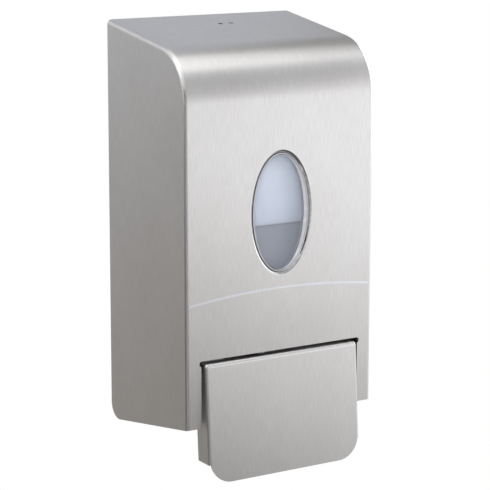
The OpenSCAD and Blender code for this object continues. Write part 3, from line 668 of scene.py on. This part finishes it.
def oval_walls(sections):
    """Walls through ovals, each given as half width, half height and y."""
    bm = bmesh.new()
    half_w, half_h, y = sections[0]
    ring = bmesh.ops.create_circle(bm, segments=OVAL_SEGMENTS, radius=1)["verts"]
    bmesh.ops.rotate(bm, verts=ring, cent=(0, 0, 0), matrix=Matrix.Rotation(math.pi / 2, 3, "X"))
    bmesh.ops.scale(bm, vec=(half_w, 1, half_h), verts=ring)
    bmesh.ops.translate(bm, vec=(0, y, WINDOW_Z), verts=ring)
    edges = bm.edges[:]
    for now, then in zip(sections, sections[1:]):
        verts, edges = extend(bm, edges)
        stretch = (then[0] / now[0], 1, then[1] / now[1])
        middle = Matrix.Translation((0, 0, -WINDOW_Z))
        bmesh.ops.scale(bm, vec=stretch, space=middle, verts=list(verts))
        bmesh.ops.translate(bm, vec=(0, then[2] - now[2], 0), verts=list(verts))
    return bm


def oval_solid(sections):
    bm = oval_walls(sections)
    bmesh.ops.holes_fill(bm, edges=bm.edges, sides=0)
    bmesh.ops.recalc_face_normals(bm, faces=bm.faces)
    return bm


def oval_band(sections):
    """Walls that run back to the first oval, so that they close into a ring."""
    bm = oval_walls(sections + sections[:1])
    bmesh.ops.remove_doubles(bm, verts=bm.verts, dist=NEAR)
    bmesh.ops.recalc_face_normals(bm, faces=bm.faces)
    return bm


# %% [markdown]
# Three things are cut out of the finished sheet: the oval for the window, the notch for the lever with a
# round relief in each upper corner, where the punch keeps the corner from tearing, and the two holes for
# the key. The window's cutter is flared like a trumpet, because the press also rolled the edge in: it shows
# as a bright crescent under the window.

# %% Cutters
LIP_W = 1.5 * MM
LIP_DEPTH = 0.9 * MM
LIP_STEPS = 6
LIP_CURVE = 1.25
LIP_BAND = 0.06
CUT_PROUD = 0.02 * MM
NOTCH_HALF_W = 50.75 * MM
NOTCH_H = 37.5 * MM
RELIEF_R = 1.6 * MM
KEY_Y = -24 * MM
KEY_HALF_SPACING = 3.4 * MM
KEY_MIDDLE_X = 3.2 * MM
KEY_R = 1.4 * MM
HOLE_SEGMENTS = 32
CUT_DEPTH = 4 * MM


def window_cutter():
    sections = [(WINDOW_A + LIP_W, WINDOW_B + LIP_W, FRONT_Y - CUT_DEPTH)]
    for step in range(LIP_STEPS + 1):
        share = step / LIP_STEPS
        flare = LIP_W * (1 - share)
        depth = LIP_DEPTH * share ** LIP_CURVE - CUT_PROUD
        sections.append((WINDOW_A + flare, WINDOW_B + flare, FRONT_Y + depth))
    sections.append((WINDOW_A, WINDOW_B, FRONT_Y + CUT_DEPTH))
    return oval_solid(sections)


def on_lip(place):
    """Whether a place lies on the rolled-in lip round the window."""
    reach = math.hypot(place.x / (WINDOW_A + LIP_W / 2), (place.z - WINDOW_Z) / (WINDOW_B + LIP_W / 2))
    return abs(reach - 1) < LIP_BAND and place.y < FRONT_Y + LIP_DEPTH


def notch_cutter():
    bm = bmesh.new()
    block = bmesh.ops.create_cube(bm, size=1)["verts"]
    bmesh.ops.scale(bm, vec=(2 * NOTCH_HALF_W, 2 * CUT_DEPTH, 2 * NOTCH_H), verts=block)
    bmesh.ops.translate(bm, vec=(0, FRONT_Y, FRONT_BOTTOM_Z), verts=block)
    return bm


def round_cutter(radius, length, place, turn_matrix):
    bm = bmesh.new()
    bmesh.ops.create_cone(
        bm, cap_ends=True, segments=HOLE_SEGMENTS, radius1=radius, radius2=radius, depth=length,
        matrix=Matrix.Translation(place) @ turn_matrix,
    )
    return bm


# %% [markdown]
# Now the cover is made step by step: the folds, the rolled rear edge, the grain, the thickness, and then the
# cuts. The lip round the window is the only place that gets the second paint, the polished edge.

# %% Make the cover
cover = round_edges(to_object(cover_sheet(), "cover_sheet"), "WEIGHT", TOP_FOLD_R, FOLD_SEGMENTS)
shape = bmesh.new()
shape.from_mesh(cover.data)
roll_rear_edge(shape)
map_grain(shape, along_profile)
shape.to_mesh(cover.data)
shape.free()
# The last paint, for the inside, is the dark painted shade.
paint(cover, cover_steel, polished_steel, mill_and_painted_shade_steel)
thicken(cover, SHEET)
cut(cover, window_cutter())
for face in cover.data.polygons:
    places = [cover.data.vertices[index].co for index in face.vertices]
    if FRONT_Y < face.center.y < FRONT_Y + LIP_DEPTH and all(on_lip(place) for place in places):
        face.material_index = 1
cut(cover, notch_cutter())
on_front = Matrix.Rotation(math.pi / 2, 4, "X")
for side in (-1, 1):
    relief = Vector((side * (NOTCH_HALF_W - RELIEF_R / 4), FRONT_Y, FRONT_BOTTOM_Z + NOTCH_H - RELIEF_R))
    cut(cover, round_cutter(RELIEF_R, 2 * CUT_DEPTH, relief, on_front))
key_z = cover_high.z + (KEY_Y - REAR_Y) * math.tan(TOP_SLOPE)
on_top = Matrix.Rotation(TOP_SLOPE, 4, "X")
for side in (-1, 1):
    hole = Vector((KEY_MIDDLE_X + side * KEY_HALF_SPACING, KEY_Y, key_z))
    cut(cover, round_cutter(KEY_R, 2 * CUT_DEPTH, hole, on_top))
finish_piece(cover, "cover", "brushed_cover_steel", "cover")

# %% [markdown]
# ## Line across the front
# A pale etched line runs in a shallow arc across the front, from fold to fold. A short edge spun round a
# far centre makes it, and a hair of thickness keeps it on top of the steel. Etched steel still mirrors the
# studio, so the line is a paler, matter metal and grows brighter to the right with the front.

# %% Line across the front
LINE_R = 411 * MM
LINE_TOP_Z = -27.5 * MM
LINE_W = 1.3 * MM
LINE_T = 0.06 * MM
LINE_MARGIN = 0.2 * MM
LINE_END_X = cover_high.x - FOLD_R - LINE_MARGIN
LINE_STEPS = 64


def front_arc():
    bm = bmesh.new()
    half_angle = math.asin(LINE_END_X / LINE_R)
    centre = Vector((0, FRONT_Y - LINE_T, LINE_TOP_Z - LINE_R))
    ends = [bm.verts.new(centre + Vector((0, 0, LINE_R + offset))) for offset in (-LINE_W / 2, LINE_W / 2)]
    edge = bm.edges.new(ends)
    bmesh.ops.rotate(bm, verts=ends, cent=centre, matrix=Matrix.Rotation(-half_angle, 3, "Y"))
    geom = ends + [edge]
    bmesh.ops.spin(bm, geom=geom, cent=centre, axis=(0, 1, 0), angle=2 * half_angle, steps=LINE_STEPS)
    bmesh.ops.recalc_face_normals(bm, faces=bm.faces)
    if bm.faces[:][0].normal.y > 0:
        bmesh.ops.reverse_faces(bm, faces=bm.faces)
    return bm


def etched_line():
    etched = Finish("etched_line", (0.74, 0.745, 0.79), 0.42, metallic=1.0)
    speckle = etched.noise(etched.object_place(), (0.0006, 0.0006, 0.0006), detail=2)
    tone = etched.blend(etched.spread(speckle, 0, 1), (0.71, 0.715, 0.76), (0.77, 0.775, 0.82))
    etched.to_shader(tone, "Base Color")
    return etched.material


line = paint(to_object(front_arc(), "front_line"), etched_line())
finish_piece(thicken(line, LINE_T), "cover", "brushed_cover_steel")

# %% [markdown]
# ## Window
# A moulded ring sits in the oval hole, its face sloping in to a clear pane. Both are pulled through the
# points of their sections, so the ring stays smooth where the imported solid has facets. The bottom of its
# groove and a flat in its crease are painted near black: painted shade, for the shadow in the gap between
# ring and sheet and in the crease.

# %% Window ring
BEZEL_LAP = 3 * MM
BEZEL_SIDE = 2.5 * MM
BEZEL_END = 1.5 * MM
CLEARANCE = 0.02 * MM
# Rows of ring faces painted near black as painted shade: the groove's wall and floor, and a flat in the
# crease.
PAINTED_SHADE_ROWS = (0, 1, 7)
LENS_Y = lens_low.y
LENS_BACK_Y = lens_high.y
FRONT_INNER_Y = FRONT_Y + SHEET


def bezel_ring():
    """Sections run from the groove, over the rim and a crease, down the slope to the pane, and back."""
    def inset(share, depth):
        return WINDOW_A - share * MM, WINDOW_B - share * MM, FRONT_Y + depth * MM

    inner_a, inner_b = WINDOW_A - BEZEL_SIDE, WINDOW_B - BEZEL_END
    back_a, back_b = WINDOW_A + BEZEL_LAP, WINDOW_B + BEZEL_LAP
    rim = [(0.05, 1.02), (0.05, 0.9), (0.45, 0.9), (0.5, 0.45), (0.6, 0.3), (0.85, 0.32), (0.95, 0.45)]
    crease = [(0.98, 0.8), (1.2, 0.8), (1.25, 0.6)]
    return oval_band([inset(*section) for section in rim + crease] + [
        (inner_a + 0.25 * MM, inner_b + 0.1 * MM, LENS_Y - 0.3 * MM),
        (inner_a, inner_b, LENS_Y - CLEARANCE),
        (back_a, back_b, LENS_Y - CLEARANCE),
        (back_a, back_b, FRONT_INNER_Y + CLEARANCE),
    ])


def bezel_plastic():
    plastic = Finish("bezel_plastic", (0.47, 0.47, 0.50), 0.22)
    haze = plastic.noise(plastic.object_place(), (0.004, 0.004, 0.004), detail=2)
    plastic.to_shader(plastic.spread(haze, 0.16, 0.3), "Roughness")
    tone = plastic.blend(plastic.spread(haze, 0, 1), (0.44, 0.44, 0.47), (0.50, 0.50, 0.53))
    plastic.to_shader(tone, "Base Color")
    plastic.set("Coat Weight", 1.0)
    plastic.set("Coat Roughness", 0.08)
    return plastic.material


# A near-black paint for the groove and the crease: painted shade, not a seal.
groove_painted_shade = moulded("groove_painted_shade", (0.03, 0.03, 0.034), 0.6).material
bezel = paint(to_object(bezel_ring(), "window_ring"), bezel_plastic(), groove_painted_shade)
for face in bezel.data.polygons:
    if face.index // OVAL_SEGMENTS in PAINTED_SHADE_ROWS:
        face.material_index = 1
finish_piece(bezel, "cover", "bezel_plastic", "window_bezel")

# %% [markdown]
# The pane is thin clear plastic. Its alpha makes it mostly see-through, and faint wipe marks vary its gloss.

# %% Window pane
PANE_EDGE = 0.2 * MM
PANE_SEGMENTS = 2


def clear_pane():
    pane = Finish("lens_clear", (0.74, 0.80, 0.94), 0.12)
    wipe_marks = pane.noise(pane.object_place(), (0.012, 0.012, 0.003), detail=2)
    pane.to_shader(pane.spread(wipe_marks, 0.08, 0.16), "Roughness")
    pane.set("Alpha", 0.10)
    pane.set("IOR", 1.49)
    return pane.material


pane_a, pane_b = lens_high.x, (lens_high.z - lens_low.z) / 2
pane_shape = oval_solid([(pane_a, pane_b, LENS_Y), (pane_a, pane_b, LENS_BACK_Y)])
pane = paint(to_object(pane_shape, "window_pane"), clear_pane())
pane = round_edges(pane, "ANGLE", PANE_EDGE, PANE_SEGMENTS)
finish_piece(pane, "cover", "lens_clear", "window_lens")

# %% [markdown]
# ## Lever
# The push lever is a folded plate: a flat face, two side flanges, a fold along the top, and a flat lower
# end with round corners. It is modelled upright in its own frame at the pivot and then tilted into place,
# because the flanges and folds are square to the plate, and only their lower ends are level.

# %% Lever sizes
PIVOT = Vector((0, -80, -68)) * MM
LEVER_TILT = math.radians(3.8)
LEVER_FACE = -10.2 * MM
LEVER_TOP = 3.3 * MM
LEVER_BOTTOM = LEVER_TOP - 66.8 * MM
LEVER_FLANGE = 12 * MM
LEVER_RETURN = 6.2 * MM
LEVER_CORNER_R = 13 * MM
LEVER_CORNER_Z = LEVER_BOTTOM + LEVER_CORNER_R
LEVER_FLANGE_END = LEVER_CORNER_Z - 2.2 * MM
LEVER_SKIRT_START = LEVER_FLANGE_END - 0.5 * MM
LEVER_FOLD_R = 1.5 * MM
LEVER_TOP_FOLD_R = 2.4 * MM
LEVER_FOLD_SEGMENTS = 6
LEVER_CORNER_STEPS = 16
LEVER_MERGE = 0.01 * MM
LEVER_HALF_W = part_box("lever_plate")[1].x
LEVER_SKIRT_HALF_W = LEVER_HALF_W - SHEET
at_lever = Matrix.Translation(PIVOT) @ Matrix.Rotation(-LEVER_TILT, 4, "X")
print("lever width in mm:", round(2 * LEVER_HALF_W / MM, 1))

# %% [markdown]
# The folded part starts as a block without back and bottom. Its top is cut back to a short return, then the
# top fold is rounded, then the two side folds. Last, the flanges are cut level.

# %% Folded part of the lever
FLANGE_TILT = 0.05


def lever_channel():
    bm = bmesh.new()
    block = bmesh.ops.create_cube(bm, size=1)["verts"]
    height = LEVER_TOP - LEVER_SKIRT_START
    bmesh.ops.scale(bm, vec=(2 * LEVER_HALF_W, LEVER_FLANGE, height), verts=block)
    middle = (0, LEVER_FACE + LEVER_FLANGE / 2, (LEVER_TOP + LEVER_SKIRT_START) / 2)
    bmesh.ops.translate(bm, vec=middle, verts=block)
    open_faces = [f for f in bm.faces if f.normal.y > 0.5 or f.normal.z < -0.5]
    bmesh.ops.delete(bm, geom=open_faces, context="FACES")
    return_back = Vector((0, LEVER_FACE + LEVER_RETURN, 0))
    top = [f for f in bm.faces if f.normal.z > 0.5]
    bmesh.ops.bisect_plane(bm, geom=with_edges(top), plane_co=return_back, plane_no=(0, 1, 0))
    behind = [f for f in bm.faces if f.normal.z > 0.5 and f.calc_center_median().y > return_back.y]
    bmesh.ops.delete(bm, geom=behind, context="FACES")
    for radius, kinds in ((LEVER_TOP_FOLD_R, 1), (LEVER_FOLD_R, 2)):
        bmesh.ops.bevel(
            bm, geom=fold_edges(bm, kinds), offset=radius, offset_type="OFFSET",
            segments=LEVER_FOLD_SEGMENTS, profile=0.5, affect="EDGES", material=-1,
        )
    cut_flanges_level(bm)
    return bm


def cut_flanges_level(bm):
    """The flanges and their folds end level, a little above the flat lower end."""
    level = Matrix.Rotation(LEVER_TILT, 3, "X") @ Vector((0, 0, 1))
    flanges = [f for f in bm.faces if abs(f.normal.x) > FLANGE_TILT]
    end = Vector((0, LEVER_FACE, LEVER_FLANGE_END))
    bmesh.ops.bisect_plane(bm, geom=with_edges(flanges), plane_co=end, plane_no=level)
    below = [
        f for f in bm.faces
        if abs(f.normal.x) > FLANGE_TILT and (f.calc_center_median() - end).dot(level) < 0
    ]
    bmesh.ops.delete(bm, geom=below, context="FACES")


# %% Flat lower end of the lever
def add_lever_skirt(bm):
    """Half of the lower end is drawn as an outline, filled and mirrored."""
    corner_x = LEVER_SKIRT_HALF_W - LEVER_CORNER_R
    start = math.asin((LEVER_CORNER_Z - LEVER_SKIRT_START) / LEVER_CORNER_R)
    first = bm.verts.new((0, LEVER_FACE, LEVER_SKIRT_START))
    at_web = grow(bm, first, (LEVER_HALF_W - LEVER_FOLD_R, LEVER_FACE, LEVER_SKIRT_START))
    reach = corner_x + LEVER_CORNER_R * math.cos(start)
    vert = grow(bm, at_web, (reach, LEVER_FACE, LEVER_SKIRT_START))
    centre = (corner_x, LEVER_FACE, LEVER_CORNER_Z)
    vert = turn(bm, vert, centre, (0, 1, 0), math.pi / 2 - start, LEVER_CORNER_STEPS)
    vert = grow(bm, vert, (0, LEVER_FACE, LEVER_BOTTOM))
    bm.edges.new((vert, first))
    outline = [e for e in bm.edges if not e.link_faces]
    half = bmesh.ops.contextual_create(bm, geom=outline)["faces"]
    middle = Matrix.Identity(4)
    bmesh.ops.mirror(bm, geom=with_edges(half), matrix=middle, merge_dist=LEVER_MERGE, axis="X")
    bmesh.ops.remove_doubles(bm, verts=bm.verts, dist=LEVER_MERGE)
    bmesh.ops.recalc_face_normals(bm, faces=bm.faces)
    front = max(bm.faces, key=lambda f: f.calc_area())
    if front.normal.y > 0:
        bmesh.ops.reverse_faces(bm, faces=bm.faces)


lever_shape = lever_channel()
add_lever_skirt(lever_shape)
map_grain(lever_shape, lambda y, z: z)
bmesh.ops.transform(lever_shape, matrix=at_lever, verts=lever_shape.verts)
# The lever's inside takes the dark painted shade too.
lever = paint(to_object(lever_shape, "lever_push_plate"), lever_steel, mill_and_painted_shade_steel)
finish_piece(thicken(lever, SHEET), "lever", "brushed_lever_steel", "lever_plate")

# %% [markdown]
# ## Finishes for the imported pieces
# The pieces inside keep their imported shapes. Each gets the finish that such a piece has: rolled sheet,
# zinc-plated fasteners, moulded plastics with a fine texture, rubber and silicone.
#
# The tank is milky polyethylene, and the window shows it with the soap standing about half way up: paler
# and bluer above the level, darker below. The level is a step in the tank's own colour, at a height in the
# object's frame. A thin dark band just at the level is painted shade, and the climb to a paler tone towards
# the top above it is painted light.

# %% Tank plastic
SOAP_LEVEL = 5.6 * MM
SOAP_SPAN = 30 * MM
SOAP_DEPTH = 6 * MM
# Stops from 30 mm below the level to 30 mm above: the soap, a little paler towards the bottom; a thin dark
# band at the level, painted shade; and the empty tank, painted paler towards the top as painted light.
SOAP_AND_PAINTED_LIGHT_TONES = [
    (0.0, (0.18, 0.192, 0.22)), (0.473, (0.155, 0.163, 0.187)), (0.492, (0.085, 0.09, 0.10)),
    (0.51, (0.43, 0.47, 0.54)), (0.57, (0.49, 0.535, 0.63)), (0.8, (0.56, 0.61, 0.72)),
    (1.0, (0.62, 0.67, 0.77)),
]


def tank_plastic():
    tank = moulded("tank_plastic", (0.80, 0.84, 0.90), 0.35)
    place = tank.object_place()
    height = tank.node("ShaderNodeSeparateXYZ", {0: place}).outputs["Z"]
    share = tank.node(
        "ShaderNodeMapRange",
        {"Value": height, "From Min": SOAP_LEVEL - SOAP_SPAN, "From Max": SOAP_LEVEL + SOAP_SPAN},
    ).outputs[0]
    ramp = tank.node("ShaderNodeValToRGB", {"Fac": share})
    set_stops(ramp, SOAP_AND_PAINTED_LIGHT_TONES)
    clouds = tank.noise(place, (0.012, 0.012, 0.02), detail=2)
    cloudy = tank.blend(tank.spread(clouds, 0, 1), (0.93, 0.93, 0.93), (1, 1, 1))
    tank.to_shader(tank.multiply(ramp.outputs["Color"], cloudy), "Base Color")
    tank.set("Subsurface Weight", 0.5)
    tank.set("Subsurface Radius", (1, 1, 1))
    tank.set("Subsurface Scale", SOAP_DEPTH)
    return tank.material


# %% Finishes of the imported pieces
finishes = {
    "plain_steel": metal("plain_steel", (0.56, 0.56, 0.55), 0.34, (0.004, 0.004, 0.0008), 0.00002),
    "zinc_fasteners": metal("zinc_fasteners", (0.62, 0.64, 0.66), 0.28, (0.0015, 0.0015, 0.0015), 0.00002),
    "spring_steel": metal("spring_steel", (0.50, 0.50, 0.49), 0.25, (0.001, 0.001, 0.001), 0.00001),
    "tank_plastic": tank_plastic(),
    "grey_plastic": moulded("grey_plastic", (0.20, 0.21, 0.22), 0.45).material,
    "pump_plastic": moulded("pump_plastic", (0.05, 0.052, 0.055), 0.4).material,
    "seal_rubber": moulded("seal_rubber", (0.03, 0.03, 0.032), 0.6).material,
    "valve_silicone": moulded("valve_silicone", (0.68, 0.70, 0.70), 0.45).material,
}
replaced = {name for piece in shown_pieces() for name in piece.get("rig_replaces", [])}
for part in frame["record"]["subparts"]:
    name, slot = part["node"], part["material_slot"]
    if name in replaced:
        continue
    node = frame["nodes"][name]
    node.data.materials.clear()
    node.data.materials.append(finishes[slot])
    print(name, "has", slot)
